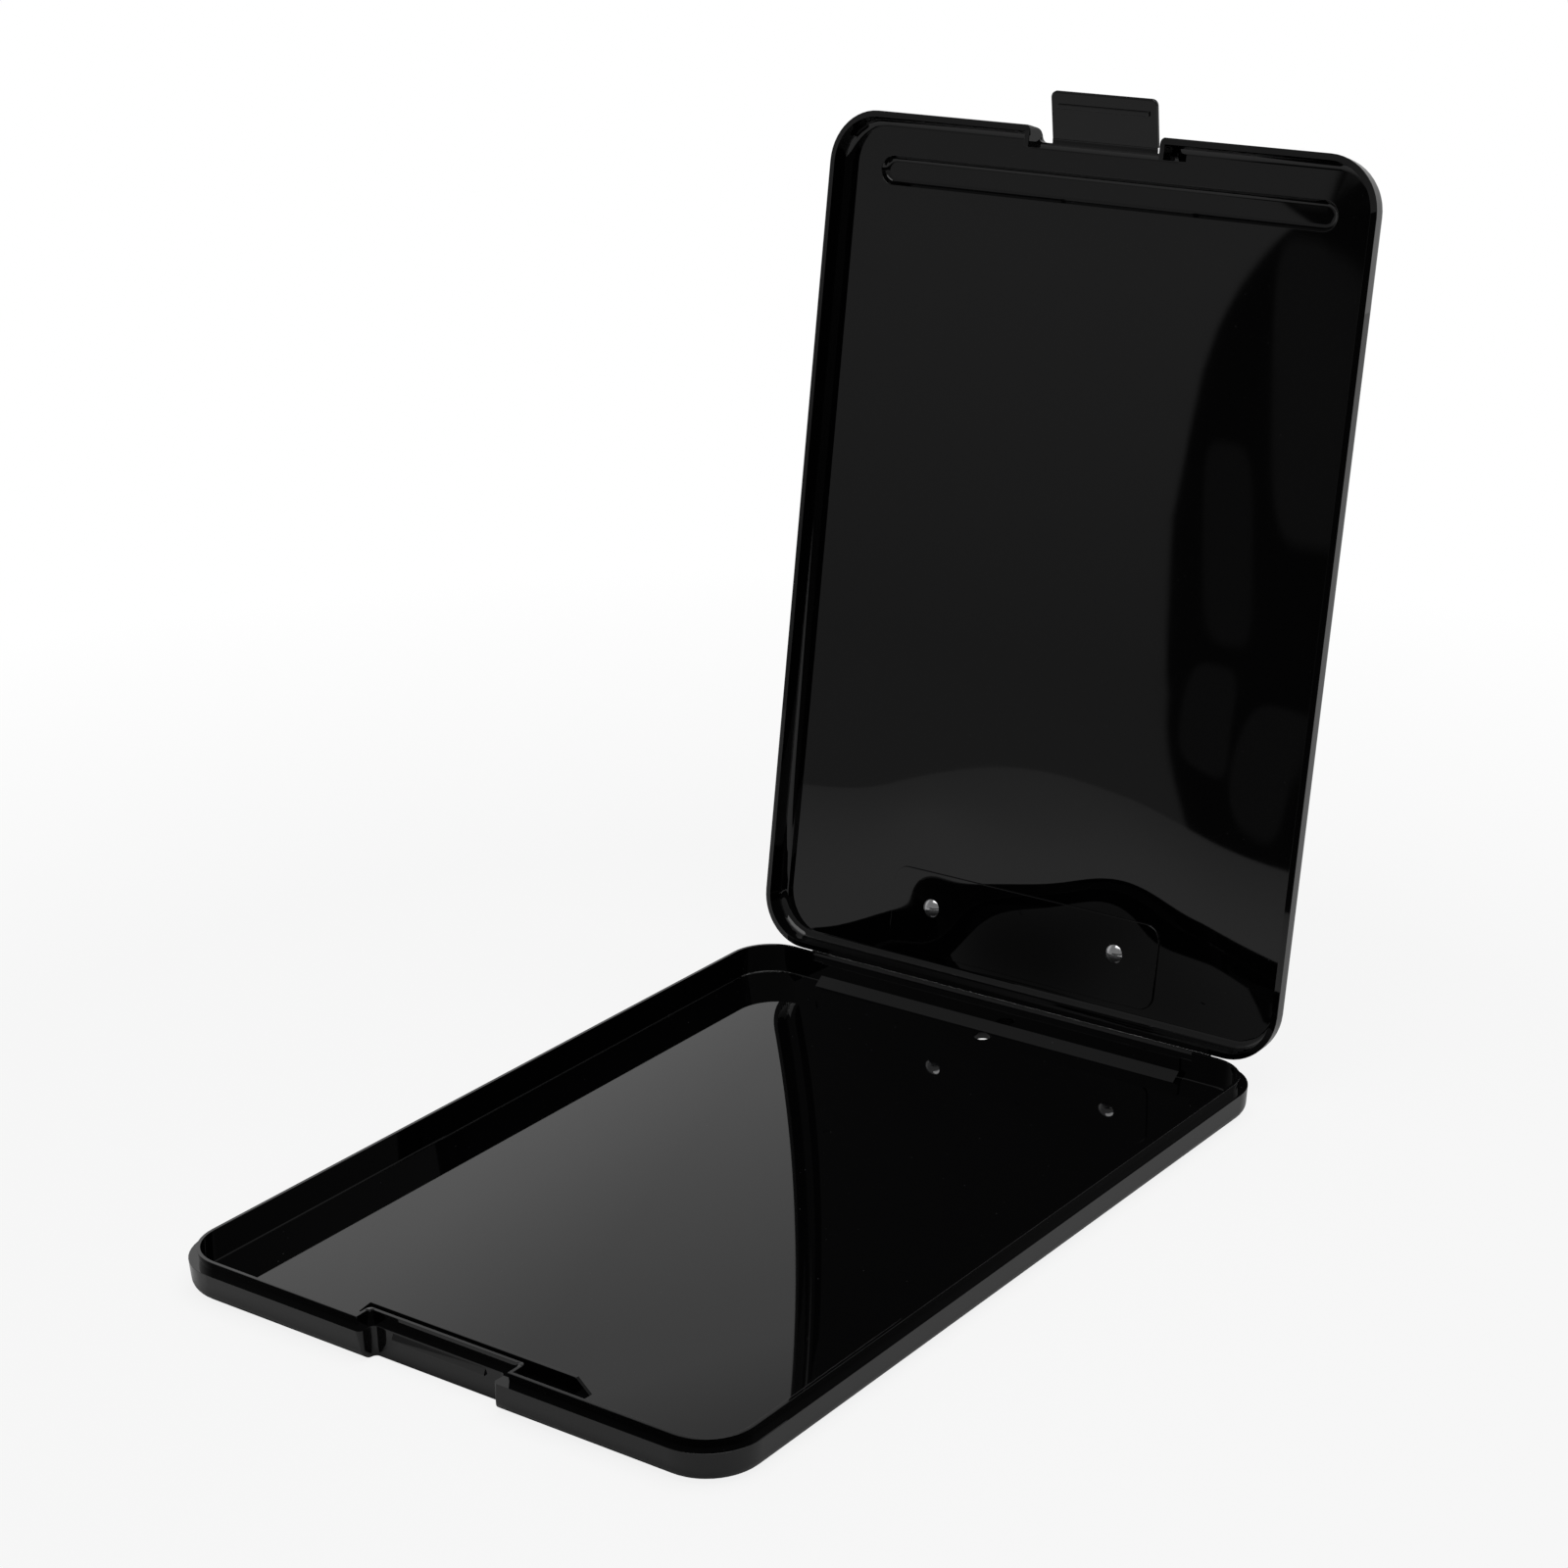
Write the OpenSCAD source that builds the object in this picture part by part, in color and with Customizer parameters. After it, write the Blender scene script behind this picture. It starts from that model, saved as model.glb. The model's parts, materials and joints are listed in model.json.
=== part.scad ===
// A slim storage clipboard box: a shallow document tray and a shallow lid, moulded in one
// piece and joined by a thin flexible web along one short edge. A flap latch hangs from the
// lid's other short edge, and a steel spring clip is riveted to the outside of the lid.
//
// Frame: origin at the centre of the tray's underside, X along the hinge, +Y towards the
// hinge, +Z up. The tray lies flat and the lid stands open by lid_open degrees.

/* [Box] */
// Width across the box, along the hinge
box_w = 240; // [220:1:320]
// Length of the tray, and of the lid, from the hinge edge to the latch edge
box_l = 338; // [280:1:420]
// Radius of the four corners, seen from above
corner_r = 21; // [16:0.5:36]
// How far the lid is open in this model, from closed
lid_open = 100.5; // [80:0.5:150]

/* [Tray] */
// Height of the tray from its underside to the ledge that the lid lands on
tray_h = 11; // [10.6:0.1:30]
// Thickness of the tray's floor
floor_t = 2.6; // [1.6:0.1:3.2]
// Radius of the rounded bottom edge
tray_edge_r = 4.5; // [2:0.1:5]
// Slope of the tray's outer walls
tray_draft = 4; // [0:0.5:5]
// Width of the ledge outside the raised lip
ledge_w = 3; // [2.9:0.1:5]
// Thickness of the raised lip
lip_t = 1.3; // [1:0.1:2.5]
// Height of the raised lip above the ledge
lip_h = 3.4; // [2:0.1:4.5]
// How far the lip leans outwards, which helps it to grip the lid
lip_lean = 10; // [0:0.5:10]
// Radius of the cove between the tray's floor and its walls
tray_cove_r = 0.5; // [0.4:0.1:4]
// Radius of the hanging hole through the floor
hang_hole_r = 3.5; // [2.5:0.1:5]
// Distance of the hanging hole from the hinge edge
hang_hole_in = 13.6; // [13.6:0.1:30]
// Radius of the round moulding mark in the middle of the tray and of the lid
gate_r = 1.5; // [1:0.1:2]
// Depth of the round moulding mark
gate_d = 0.25; // [0.1:0.05:0.5]
// Distance of the tray's moulding mark from its hinge edge
tray_gate_in = 118; // [60:0.5:160]

/* [Low rib behind the latch] */
// Distance of the rib from the latch edge
rib_in = 22.5; // [18:0.5:40]
// Length of the rib along its top
rib_top_w = 89; // [60:1:140]
// How much longer the rib is at its foot, at each end
rib_flare = 5.5; // [1:0.5:10]
// Height of the rib above the floor
rib_h = 4.9; // [2:0.1:6]
// Thickness of the rib
rib_t = 1.2; // [0.8:0.1:3]

/* [Latch recess] */
// Width of the recess in the tray's and the lid's latch edge
recess_w = 57; // [52:1:90]
// Depth of the tray's recess from its latch edge
recess_d = 6.5; // [6:0.1:9]
// Radius of the recess's corners
recess_r = 2; // [1:0.1:2.5]
// Width of the ledge behind the recess, outside the lip
recess_ledge = 3; // [2:0.1:5]
// Width of the ledge at each side of the recess, outside the lip
recess_side = 4; // [3:0.1:6]
// How far the lid's edge is set back in the recess
lid_recess_d = 6.1; // [5.8:0.1:7]
// Thickness of the lid's short walls at the recess's sides
recess_wall_t = 2.2; // [1.2:0.1:2.4]
// How far those walls reach past the set-back edge
recess_wall_l = 2.2; // [1:0.1:2.4]
// How far the catch ridge stands out of the recess's wall
catch_size = 0.8; // [0.5:0.1:0.8]
// Length of the catch ridge
catch_w = 40; // [20:1:42]

/* [Hinge] */
// Distance from the tray's edge to the hinge line, and from the lid's edge to it
hinge_out = 1; // [0.8:0.1:2]
// Gap between the tray's ledge and the lid's rim when the box is closed
lid_gap = 0.3; // [0.2:0.05:0.6]
// Length of the gap in the tray's lip along the hinge
lip_gap_w = 178; // [174:1:190]
// Length of the flexible web
web_w = 188; // [120:1:194]
// Thickness of the flexible web
web_t = 0.4; // [0.3:0.05:0.6]
// Depth of the web's middle below the ledge and above the rim
web_drop = 0.6; // [0.6:0.05:1]
// Length of the thicker wall that stiffens the tray along the hinge
step_w = 168.6; // [100:0.2:174]
// How much thicker that wall is
step_t = 1; // [0.6:0.1:2]
// Length of the slope at that wall's foot, along the floor
slope_l = 4.4; // [2:0.1:4.6]
// Height of the slope at that wall's foot
slope_h = 3; // [1:0.1:5]

/* [Lid] */
// Thickness of the lid from its rim to its outer face
lid_t = 10.5; // [10:0.1:16]
// Thickness of the lid's panel
panel_t = 2; // [1.6:0.1:2.4]
// Thickness of the lid's rim
rim_w = 2.5; // [1.8:0.1:2.5]
// How much lower the rim's outer edge is than its inner edge
rim_fall = 0.4; // [0:0.05:0.6]
// Radius of the lid's rounded outer edge
lid_edge_r = 5.5; // [3:0.1:6]
// Slope of the lid's walls
lid_draft = 8; // [2:0.5:8]
// Depth of the straight part of the lid's inner wall, which takes the tray's lip
lid_straight = 3.8; // [3.5:0.1:4.8]
// Radius of the cove between the lid's panel and its walls
lid_cove_r = 3.3; // [1.5:0.1:4]
// Distance of the lid's moulding mark from its hinge edge
lid_gate_in = 35.4; // [30:0.2:40]

/* [Pen groove] */
// Length of the groove inside the lid
groove_l = 201; // [120:1:204]
// Width of the groove
groove_w = 11.3; // [8:0.1:14]
// Depth of the groove below the lid's panel
groove_d = 2.4; // [2:0.1:3]
// Distance of the groove's middle from the latch edge
groove_in = 22.3; // [19:0.1:40]
// Thickness of the groove's floor and walls
groove_t = 1.6; // [1.4:0.1:2]
// Slope of the groove's walls
groove_draft = 30; // [5:1:35]
// Radius at the foot of the groove's walls
groove_r = 2; // [0.5:0.1:2]

/* [Latch flap] */
// Width of the latch flap
flap_w = 46.2; // [30:0.2:47]
// Thickness of the latch flap
flap_t = 1.6; // [1.2:0.1:1.8]
// Height of the flap's free end above the underside when the box is latched
flap_foot = 0.8; // [0.8:0.1:2]
// Angle of the flap in this model, from level with the lid towards the inside
flap_rest = 15; // [4:1:20]
// Depth of the latch's hinge line below the lid's rim
flap_depth = 8.6; // [7.8:0.1:8.8]
// Radius of the flap's free corners
flap_corner_r = 2.6; // [1:0.1:4]
// Distance from the latch's hinge line to the hook bar
hook_from = 12.6; // [12.4:0.1:14]
// Length of the hook bar towards the free end
hook_l = 1.8; // [1.2:0.1:2.4]
// Height of the hook bar above the flap's inner face
hook_h = 0.8; // [0.6:0.05:0.8]
// Thickness of the latch's flexible web
latch_web_t = 0.4; // [0.3:0.05:0.4]

/* [Clip] */
// Width of the clip's base plate
clip_w = 120; // [90:1:120]
// Length of the clip's base plate, along the lid
clip_l = 32; // [30:1:36]
// Thickness of the clip's sheet steel
clip_t = 1; // [0.8:0.1:1.2]
// Depth of the seat for the base plate in the lid's outer face
seat_d = 0.6; // [0.3:0.1:0.8]
// Distance of the rivets from the lid's hinge edge
rivet_in = 27.6; // [27.5:0.1:32]
// Distance between the two rivets
rivet_gap = 86; // [82:0.5:96]
// Radius of the rivets' shanks
rivet_r = 2; // [1.5:0.1:2.4]
// Radius of the rivets' domed heads
rivet_head_r = 3.7; // [3:0.1:4.4]
// Height of the rivets' domed heads
rivet_head_h = 1.6; // [1:0.1:2.2]
// Radius of the clip's pivot pin
pin_r = 1.25; // [1:0.05:1.25]
// Height of the pivot pin above the lid's outer face
pin_z = 4.4; // [4.4:0.1:5]
// Distance between the base plate's two ears
ear_gap = 60; // [50:1:70]
// Width of the jaw
jaw_w = 112; // [80:1:112]
// Width of the jaw's thumb lever
lever_w = 70; // [66:1:80]
// Height of the jaw's crest above the lid's outer face
crest_z = 8.4; // [8.4:0.1:9.2]
// Radius of the jaw's rolled gripping edge
curl_r = 1.8; // [1.6:0.1:2]
// Length of each of the spring's two coils
coil_l = 9; // [7.5:0.5:12]
// Thickness of the spring's wire
spring_wire = 1; // [0.8:0.05:1]

/* [Hidden] */
$fn = 64;

// how far a cutting shape runs past the face that it cuts
over = 1;
// radial clearance of a rivet or a pin in its hole
fit_gap = 0.05;
// clearance between parts that pass or rest close to each other
part_gap = 0.3;

black = [0.03, 0.03, 0.032];
steel = [0.72, 0.72, 0.74];

// the tray's edges and heights
half_l = box_l / 2;
lip_top = tray_h + lip_h;
lip_in = ledge_w + lip_t;
// how deep the lip's foot reaches into the tray's wall
lip_foot = 0.5;
recess_back = recess_d + recess_ledge;
lip_recess_w = recess_w + 2 * recess_side;

// the hinge line, and the lid measured from it: y runs back from the lid towards the hinge
// line and z from the rim to the outer face
hinge_y = half_l + hinge_out;
hinge_z = tray_h + lid_gap / 2;
lid_mid_y = -hinge_y;
lid_end_y = -hinge_out - box_l;
rim_z = lid_gap / 2;
panel_z = rim_z + lid_t - panel_t;
outer_z = rim_z + lid_t;
lid_depth = lid_t - panel_t;

// the latch's hinge line, measured from the hinge line as the lid is
flap_gap = 0.9;
latch_y = lid_end_y + lid_recess_d - flap_gap;
latch_z = rim_z + flap_depth;
flap_inner_z = -latch_web_t / 2;
flap_l = tray_h + rim_z + latch_z - flap_foot;
// the catch ridge's underside, just above the hook bar when the box is latched
latch_play = 0.4;
catch_z = tray_h + rim_z + latch_z - hook_from + latch_play;
// height of the ridge where it meets the recess's wall
catch_top = 3.5 * catch_size;
// the raised edge that carries the latch's web
stub_h = 1.1;
stub_w = 3;

// the clip, measured from the middle between the rivets on the lid's outer face
clip_y = -hinge_out - rivet_in;
plate_z = clip_t - seat_d;
plate_mid_y = 2.3;
plate_r = 5;
pad_side = 2;
pad_r = plate_r + pad_side / 2;
pin_y = 4;
ear_r = 2.6;
jaw_ear_x = ear_gap / 2 + clip_t + 2 * part_gap;
curl_y = plate_mid_y - clip_l / 2 + curl_r;
// the middle of the jaw's sheet at its crest, and where its lever ends
crest_mid_z = crest_z - clip_t / 2;
riser_l = 6;
crest_past_pin = 4;
neck_l = 1;
lever_set_in = 1;
lever_rise = 2.1;
crest_from_y = curl_y + riser_l;
crest_to_y = pin_y + crest_past_pin;
lever_y = plate_mid_y + clip_l / 2 - lever_set_in;
lever_z = crest_mid_z + lever_rise;
// how much wider the pin's heads are than the pin, and how thick
pin_head_over = 0.7;
pin_head_t = 0.8;
// the rivets' flat heads on the base plate
rivet_foot_t = 0.9;
rivet_foot_r = rivet_head_r - 0.4;
// the middle of the spring's wire in its coils
coil_r = pin_r + part_gap + spring_wire / 2;
coil_turns = 5;
coil_steps = 8;

// ---------------------------------------------------------------- shared shapes

// A rectangle with round corners, centred
module round_rect(w, l, r) {
    square([w - 2 * r, l], center = true);
    square([w, l - 2 * r], center = true);
    for (sx = [-1, 1], sy = [-1, 1])
        translate([sx * (w / 2 - r), sy * (l / 2 - r)]) circle(r);
}

// Half of a dish's cross-section: flat at the bottom, a round foot of radius r, then a wall
// that leans out by draft degrees and reaches x = top_x at height h. The outer edge of the
// top falls by fall over the last fall_w.
module dish_section(top_x, h, r, draft, fall = 0, fall_w = 1) {
    foot_x = top_x - (h - r) * tan(draft) - r / cos(draft);
    polygon([
        [0, 0], [foot_x, 0],
        [foot_x + r * cos(draft), r - r * sin(draft)],
        [top_x - fall * tan(draft), h - fall],
        [top_x - fall_w, h],
        [0, h]
    ]);
    translate([foot_x, r]) intersection() {
        circle(r);
        translate([0, -r]) square([r, r]);
    }
}

// A dish with round corners: the section above carried along the sides and round the corners
module dish(w, l, corner, h, r, draft, fall = 0, fall_w = 1) {
    straight_w = w - 2 * corner;
    straight_l = l - 2 * corner;
    module side(length) {
        rotate([90, 0, 90]) linear_extrude(length, center = true)
            dish_section(corner, h, r, draft, fall, fall_w);
    }
    translate([-straight_w / 2, -straight_l / 2, 0]) cube([straight_w, straight_l, h]);
    for (turn = [0, 180]) rotate([0, 0, turn]) {
        translate([0, straight_l / 2, 0]) side(straight_w);
        translate([straight_w / 2, 0, 0]) rotate([0, 0, -90]) side(straight_l);
        for (sx = [0, 1])
            translate([(sx == 0 ? 1 : -1) * straight_w / 2, straight_l / 2, 0])
                rotate([0, 0, 90 * sx]) rotate_extrude(angle = 90)
                    dish_section(corner, h, r, draft, fall, fall_w);
    }
}

// A long trough or bar with half-round ends, along X, with the same section
module stadium(length, w, h, r, draft) {
    straight = length - w;
    rotate([90, 0, 90]) linear_extrude(straight, center = true) {
        dish_section(w / 2, h, r, draft);
        mirror([1, 0]) dish_section(w / 2, h, r, draft);
    }
    for (side = [0, 1]) rotate([0, 0, 180 * side])
        translate([straight / 2, 0, 0]) rotate([0, 0, -90]) rotate_extrude(angle = 180)
            dish_section(w / 2, h, r, draft);
}

// The plan of a recess of width w and depth d in an edge that runs along X at y = 0, with
// the material on the +Y side: round inner corners, and outer corners that are rounded off
module recess_plan(w, d, r) {
    translate([-w / 2, -over]) square([w, d - r + over]);
    translate([-w / 2 + r, -over]) square([w - 2 * r, d + over]);
    for (side = [-1, 1]) {
        translate([side * (w / 2 - r), d - r]) circle(r);
        translate([side * w / 2, 0]) difference() {
            translate([side > 0 ? 0 : -r, -over]) square([r, r + over]);
            translate([side * r, r]) circle(r);
        }
    }
}

// The round moulding mark, sunk into a face at z = 0 that looks up
module gate_mark() {
    translate([0, 0, -gate_d]) cylinder(h = gate_d + over, r = gate_r);
}

// ---------------------------------------------------------------- the tray

// Solid blocks that the tray's cavity goes round: the wall behind the latch recess, and the
// thicker wall along the hinge with a slope at its foot
module tray_inner_blocks() {
    back_w = lip_recess_w + 2 * lip_t;
    wall_y = half_l - lip_in - step_t;
    translate([0, -half_l, 0]) linear_extrude(lip_top + over)
        recess_plan(back_w, recess_back + lip_t, recess_r);
    rotate([90, 0, 90]) linear_extrude(step_w, center = true)
        polygon([
            [half_l, 0], [wall_y - slope_l, 0], [wall_y - slope_l, floor_t],
            [wall_y, floor_t + slope_h], [wall_y, tray_h], [half_l, tray_h]
        ]);
}

module tray_cavity() {
    difference() {
        translate([0, 0, floor_t])
            dish(box_w - 2 * lip_in, box_l - 2 * lip_in, corner_r - lip_in,
                 lip_top - floor_t + over, tray_cove_r, 0);
        tray_inner_blocks();
    }
}

// The ridge that the latch's hook bar catches under, with a slope above it
module catch_ridge() {
    translate([0, -half_l + recess_d, catch_z])
        rotate([90, 0, 90]) linear_extrude(catch_w, center = true)
            polygon([[0, 0], [-catch_size, 0], [-catch_size, catch_size], [0, catch_top]]);
}

module low_rib() {
    foot = rib_top_w / 2 + rib_flare;
    translate([0, -half_l + rib_in + rib_t / 2, floor_t])
        rotate([90, 0, 0]) linear_extrude(rib_t)
            polygon([[-foot, 0], [foot, 0], [rib_top_w / 2, rib_h], [-rib_top_w / 2, rib_h]]);
}

module tray_shell() {
    lip_plate_w = box_w - 2 * ledge_w;
    lip_plate_l = box_l - 2 * ledge_w;
    color(black) union() {
        difference() {
            union() {
                dish(box_w, box_l, corner_r, tray_h, tray_edge_r, tray_draft);
                translate([0, 0, tray_h - lip_foot])
                    dish(lip_plate_w, lip_plate_l, corner_r - ledge_w, lip_h + lip_foot,
                         lip_foot, lip_lean);
            }
            tray_cavity();
            // the latch recess, through the whole height, and the lip's step round it
            translate([0, -half_l, -over]) linear_extrude(lip_top + 2 * over)
                recess_plan(recess_w, recess_d, recess_r);
            translate([0, -half_l, tray_h]) linear_extrude(lip_h + over)
                recess_plan(lip_recess_w, recess_back, recess_r);
            // no lip along the hinge
            translate([-lip_gap_w / 2, half_l - lip_in - over, tray_h])
                cube([lip_gap_w, lip_in + 2 * over, lip_h + over]);
            translate([0, half_l - hang_hole_in, -over])
                cylinder(h = floor_t + 2 * over, r = hang_hole_r);
            translate([0, half_l - tray_gate_in, floor_t]) gate_mark();
        }
        low_rib();
        catch_ridge();
    }
}

// A flexible web across a hinge line that runs along X: an arc that starts reach before the
// line and off below it, heads +Y and turns up by turn degrees
module living_web(width, reach, off, turn, t) {
    r = reach / tan(turn / 2) + off;
    far = 3 * (r + t);
    translate([0, -reach, r - off])
        rotate([90, 0, 90]) linear_extrude(width, center = true)
            intersection() {
                difference() {
                    circle(r + t / 2);
                    circle(r - t / 2);
                }
                polygon([[0, 0], [0, -far], [far, -far], [far * sin(turn), -far * cos(turn)]]);
            }
}

// The flexible web between the tray's edge and the open lid's edge
module hinge_web() {
    color(black) translate([0, hinge_y, hinge_z])
        living_web(web_w, hinge_out, rim_z + web_drop, 180 - lid_open, web_t);
}

// ---------------------------------------------------------------- the lid

// Turns a piece that is placed on the closed lid, measured from the hinge line, to the open lid
module on_lid() {
    translate([0, hinge_y, hinge_z]) rotate([-lid_open, 0, 0]) children();
}

// Places a dish upside down on the lid, with its flat side at height z
module upside_down(y, z) {
    translate([0, y, z]) rotate([180, 0, 0]) children();
}

module lid_cavity() {
    in_w = box_w - 2 * rim_w;
    in_l = box_l - 2 * rim_w;
    in_r = corner_r - rim_w;
    sloped_h = lid_depth - lid_straight;
    difference() {
        upside_down(lid_mid_y, panel_z) {
            dish(in_w, in_l, in_r, sloped_h, lid_cove_r, lid_draft);
            translate([0, 0, sloped_h]) linear_extrude(lid_straight + over)
                round_rect(in_w, in_l, in_r);
        }
        // the raised edge along the recess, with a cove towards the panel
        translate([0, lid_end_y + lid_recess_d, panel_z])
            rotate([90, 0, 90]) linear_extrude(lip_recess_w, center = true) difference() {
                translate([-over, -stub_h]) square([stub_w + over, stub_h + over]);
                translate([stub_w, -stub_w]) circle(stub_w);
                translate([stub_w, -stub_w]) square(stub_w + over);
            }
        // the short walls at the latch recess's sides
        for (side = [0, 1]) mirror([side, 0, 0])
            translate([recess_w / 2, lid_end_y, rim_z])
                cube([recess_wall_t, lid_recess_d + recess_wall_l, lid_t]);
        // the pad that backs the clip's seat
        translate([0, clip_y + plate_mid_y, panel_z - seat_d]) linear_extrude(seat_d + over)
            round_rect(clip_w + 2 * pad_side, clip_l + pad_side, pad_r);
    }
}

module lid_shell() {
    bar_h = groove_d + groove_t - panel_t;
    bar_w = groove_w + 2 * groove_t;
    groove_y = lid_end_y + groove_in;
    color(black) on_lid() difference() {
        union() {
            upside_down(lid_mid_y, outer_z)
                dish(box_w, box_l, corner_r, lid_t, lid_edge_r, lid_draft, rim_fall, rim_w);
            upside_down(groove_y, outer_z + bar_h)
                stadium(groove_l + 2 * groove_t, bar_w, bar_h + over, groove_r, groove_draft);
        }
        lid_cavity();
        upside_down(groove_y, panel_z + groove_d)
            stadium(groove_l, groove_w, groove_d, groove_r, groove_draft);
        // the latch recess
        translate([0, lid_end_y, rim_z - over]) linear_extrude(lid_t + 2 * over)
            recess_plan(recess_w, lid_recess_d, recess_r);
        // the clip's seat and the rivets' holes
        translate([0, clip_y + plate_mid_y, outer_z - seat_d]) linear_extrude(seat_d + over)
            round_rect(clip_w + 2 * part_gap, clip_l + 2 * part_gap, plate_r + part_gap);
        for (side = [-1, 1])
            translate([side * rivet_gap / 2, clip_y, panel_z - seat_d - over])
                cylinder(h = panel_t + 2 * over, r = rivet_r + fit_gap);
        upside_down(-hinge_out - lid_gate_in, panel_z - seat_d) gate_mark();
    }
}

// ---------------------------------------------------------------- the latch

// Places a piece on the latch's hinge line, on the open lid
module on_latch() {
    on_lid() translate([0, latch_y, latch_z]) children();
}

// The flap, with a hook bar across its inner face near the free end
module latch_flap() {
    end_r = flap_t / 2;
    hook_y = -hook_from - hook_l;
    round_r = hook_h / 2;
    color(black) on_latch() rotate([flap_rest, 0, 0]) {
        difference() {
            rotate([90, 0, 90]) linear_extrude(flap_w, center = true) {
                translate([-flap_l + end_r, flap_inner_z])
                    square([flap_l - end_r - flap_gap, flap_t]);
                translate([-flap_l + end_r, flap_inner_z + end_r]) circle(end_r);
            }
            // the free corners are round
            for (side = [-1, 1])
                translate([side * (flap_w / 2 - flap_corner_r), -flap_l + flap_corner_r,
                           flap_inner_z - over])
                    linear_extrude(flap_t + 2 * over) difference() {
                        translate([side > 0 ? 0 : -flap_corner_r - over, -flap_corner_r - over])
                            square(flap_corner_r + over);
                        circle(flap_corner_r);
                    }
        }
        rotate([90, 0, 90]) linear_extrude(catch_w, center = true) {
            translate([hook_y, flap_inner_z - round_r]) square([hook_l, hook_h]);
            translate([hook_y + round_r, flap_inner_z - hook_h])
                square([hook_l - hook_h, hook_h]);
            for (y = [hook_y + round_r, -hook_from - round_r])
                translate([y, flap_inner_z - round_r]) circle(round_r);
        }
    }
}

// The latch's flexible web, from the lid's raised edge to the flap
module latch_web() {
    color(black) on_latch() rotate([180, 0, 0])
        living_web(flap_w, flap_gap, 0, flap_rest, latch_web_t);
}

// ---------------------------------------------------------------- the clip

// Places a piece on the lid's outer face, midway between the rivets
module on_clip() {
    on_lid() translate([0, clip_y, outer_z]) children();
}

// An upright ear of sheet steel at x, with a hole for the pivot pin; it reaches z = foot_z
module ear(x, foot_z) {
    translate([x, pin_y, 0]) rotate([90, 0, 90]) linear_extrude(clip_t, center = true)
        difference() {
            union() {
                translate([0, pin_z]) circle(ear_r);
                translate([-ear_r, min(foot_z, pin_z)])
                    square([2 * ear_r, abs(pin_z - foot_z)]);
            }
            translate([0, pin_z]) circle(pin_r + fit_gap);
        }
}

module clip_base_plate() {
    color(steel) on_clip() union() {
        translate([0, 0, -seat_d]) linear_extrude(clip_t) difference() {
            translate([0, plate_mid_y]) round_rect(clip_w, clip_l, plate_r);
            for (side = [-1, 1])
                translate([side * rivet_gap / 2, 0]) circle(rivet_r + fit_gap);
        }
        for (side = [-1, 1]) ear(side * ear_gap / 2, plate_z - clip_t / 2);
    }
}

// A straight stretch of sheet in the plane of the jaw's side view, with round ends
module sheet_run(from, to) {
    step = to - from;
    translate(from) rotate(atan2(step[1], step[0])) translate([0, -clip_t / 2])
        square([norm(step), clip_t]);
    translate(from) circle(clip_t / 2);
    translate(to) circle(clip_t / 2);
}

// What is cut away to round a plate's corner at x, y, towards dir along Y
module corner_cut(x, y, dir) {
    translate([x, y, -over]) linear_extrude(2 * crest_z) difference() {
        translate([x > 0 ? 0 : -2 * plate_r, dir > 0 ? 0 : -2 * plate_r]) square(2 * plate_r);
        circle(plate_r);
    }
}

// The jaw: a rolled gripping edge, a riser, a crest over the pivot pin and a thumb lever
module clip_jaw() {
    curl_z = plate_z + part_gap + curl_r;
    neck_y = crest_to_y - neck_l;
    color(steel) on_clip() {
        difference() {
            union() {
                rotate([90, 0, 90]) linear_extrude(jaw_w, center = true) {
                    sheet_run([curl_y, curl_z + curl_r - clip_t / 2], [crest_from_y, crest_mid_z]);
                    sheet_run([crest_from_y, crest_mid_z], [neck_y, crest_mid_z]);
                }
                rotate([90, 0, 90]) linear_extrude(lever_w, center = true) {
                    sheet_run([neck_y, crest_mid_z], [crest_to_y, crest_mid_z]);
                    sheet_run([crest_to_y, crest_mid_z], [lever_y, lever_z]);
                }
                translate([0, curl_y, curl_z]) rotate([0, 90, 0])
                    cylinder(h = jaw_w, r = curl_r, center = true);
            }
            translate([0, curl_y, curl_z]) rotate([0, 90, 0])
                cylinder(h = jaw_w + 2 * over, r = curl_r - clip_t, center = true);
            for (side = [-1, 1])
                corner_cut(side * (lever_w / 2 - plate_r), lever_y + clip_t / 2 - plate_r, 1);
        }
        for (side = [-1, 1]) ear(side * jaw_ear_x, crest_mid_z);
    }
}

module clip_pivot_pin() {
    head_x = jaw_ear_x + clip_t / 2 + part_gap;
    color(steel) on_clip() translate([0, pin_y, pin_z]) rotate([0, 90, 0]) {
        cylinder(h = 2 * head_x, r = pin_r, center = true);
        for (side = [-1, 1])
            translate([0, 0, side * (head_x + pin_head_t / 2)])
                cylinder(h = pin_head_t, r = pin_r + pin_head_over, center = true);
    }
}

function unit(v) = v / norm(v);
function heading(path, i) = unit(path[min(i + 1, len(path) - 1)] - path[max(i - 1, 0)]);
// a direction across the path, carried along it without twisting
function carry(n, t) = unit(n - (n * t) * t);
function across(path) = [
    for (i = 0, n = carry([1, 0, 0], heading(path, 0)); i < len(path);
         i = i + 1, n = carry(n, heading(path, min(i, len(path) - 1)))) n
];

// A round wire along a path, as one closed skin of triangles
module wire(path, r, sides = 6) {
    side_dir = across(path);
    last = len(path) - 1;
    points = [
        for (i = [0:last], k = [0:sides - 1])
            path[i] + r * (cos(360 * k / sides) * side_dir[i]
                + sin(360 * k / sides) * cross(heading(path, i), side_dir[i]))
    ];
    skin = [
        for (i = [0:last - 1], k = [0:sides - 1], half = [0, 1])
            let (a = i * sides + k, b = i * sides + (k + 1) % sides)
                half == 0 ? [a, a + sides, b + sides] : [a, b + sides, b]
    ];
    caps = [
        for (k = [1:sides - 2], end = [0, 1])
            end == 0 ? [0, k, k + 1] : [last * sides, last * sides + k + 1, last * sides + k]
    ];
    polyhedron(points, concat(skin, caps), convexity = 10);
}

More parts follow.
